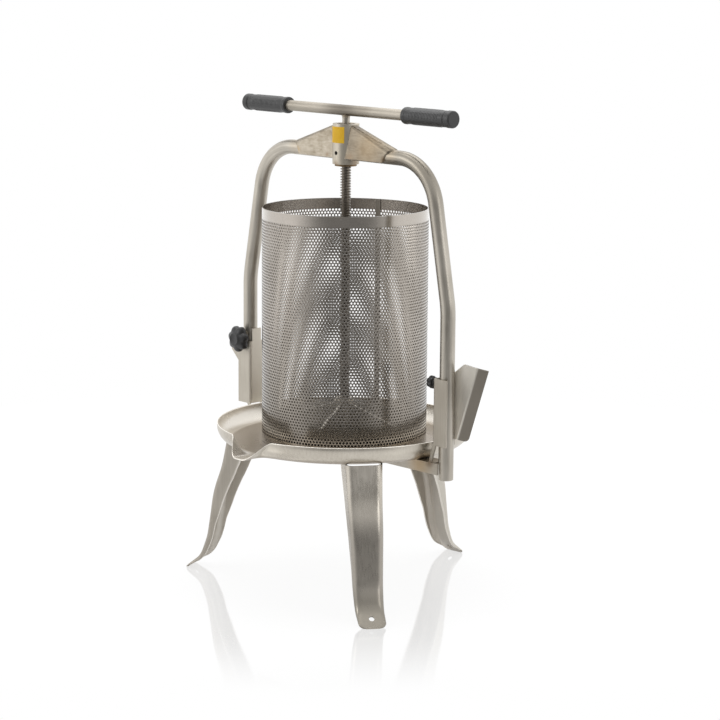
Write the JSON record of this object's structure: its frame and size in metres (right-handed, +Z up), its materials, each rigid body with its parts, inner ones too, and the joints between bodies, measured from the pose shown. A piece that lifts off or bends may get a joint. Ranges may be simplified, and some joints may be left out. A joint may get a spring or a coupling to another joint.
{
  "type": "fruit press",
  "caption": "Stainless steel screw press for fruit: perforated basket in a spouted tray on channel legs, with a tube bow, a T-handled screw and a press plate.",
  "frame": {"origin": "point on the floor below the screw's axis", "axes": "+Z up along the screw; +X towards the bow's upright with the small knob; -Y towards the spout"},
  "size_m": [0.5272, 0.4746, 0.7359],
  "materials": {
    "stainless_sheet": "brushed",
    "stainless_tube": "satin",
    "perforated_sheet": "satin",
    "turned_steel": "turned",
    "bronze": "dull",
    "grip_rubber": "matte, ribbed",
    "knob_plastic": "moulded",
    "label_yellow": "blank"
  },
  "bodies": {
    "stand": {"tray": "stainless_sheet", "leg_front_right": "stainless_sheet", "leg_front_left": "stainless_sheet", "leg_rear": "stainless_sheet", "cross_beam": "stainless_sheet", "bracket_left": "stainless_sheet", "bracket_right": "stainless_sheet", "left_clamp_nut": "turned_steel", "right_clamp_nut": "turned_steel"},
    "left_clamp_screw": {"left_knob": "knob_plastic", "left_knob_stud": "turned_steel"},
    "right_clamp_screw": {"right_knob": "knob_plastic", "right_knob_stud": "turned_steel"},
    "bow": {"bow_tube_left": "stainless_tube", "bow_tube_right": "stainless_tube", "gusset_left": "stainless_tube", "gusset_right": "stainless_tube", "nut_boss": "stainless_tube", "thread_nut": "bronze", "grub_screw": "turned_steel", "label": "label_yellow"},
    "press_plate": {"plate_disc": "stainless_sheet", "plate_fins": "stainless_sheet", "plate_hub": "turned_steel", "thrust_washer": "turned_steel", "hub_pins": "turned_steel"},
    "turning_screw": {"screw": "turned_steel", "handle_bar": "stainless_tube", "grip_left": "grip_rubber", "grip_right": "grip_rubber"},
    "basket": {"basket_shell": "perforated_sheet", "basket_seam": "perforated_sheet"}
  },
  "joints": [
    {"name": "left_clamp_turn", "type": "hinge", "parent": "stand", "child": "left_clamp_screw", "pos_m": [-0.219, -0.026, 0.352], "axis": [0, -1, 0], "range_deg": [0, 1080]},
    {"name": "right_clamp_turn", "type": "hinge", "parent": "stand", "child": "right_clamp_screw", "pos_m": [0.185, 0, 0.339], "axis": [-1, 0, 0], "range_deg": [0, 1080]},
    {"name": "bow_lift", "type": "slide", "parent": "stand", "child": "bow", "axis": [0, 0, 1], "range_m": [0, 0.36]},
    {"name": "press_slide", "type": "slide", "parent": "bow", "child": "press_plate", "axis": [0, 0, 1], "range_m": [-0.0101, 0.3001]},
    {"name": "screw_turn", "type": "hinge", "parent": "press_plate", "child": "turning_screw", "pos_m": [0, 0, 0.5], "axis": [0, 0, 1], "range_deg": [-900, 27000]},
    {"name": "basket_lift", "type": "slide", "parent": "stand", "child": "basket", "axis": [0, 0, 1], "range_m": [0, 0.055]}
  ],
  "couplings": [
    {"joint": "press_slide", "follows": "screw_turn", "m_per_rad": 0.00063662}
  ]
}
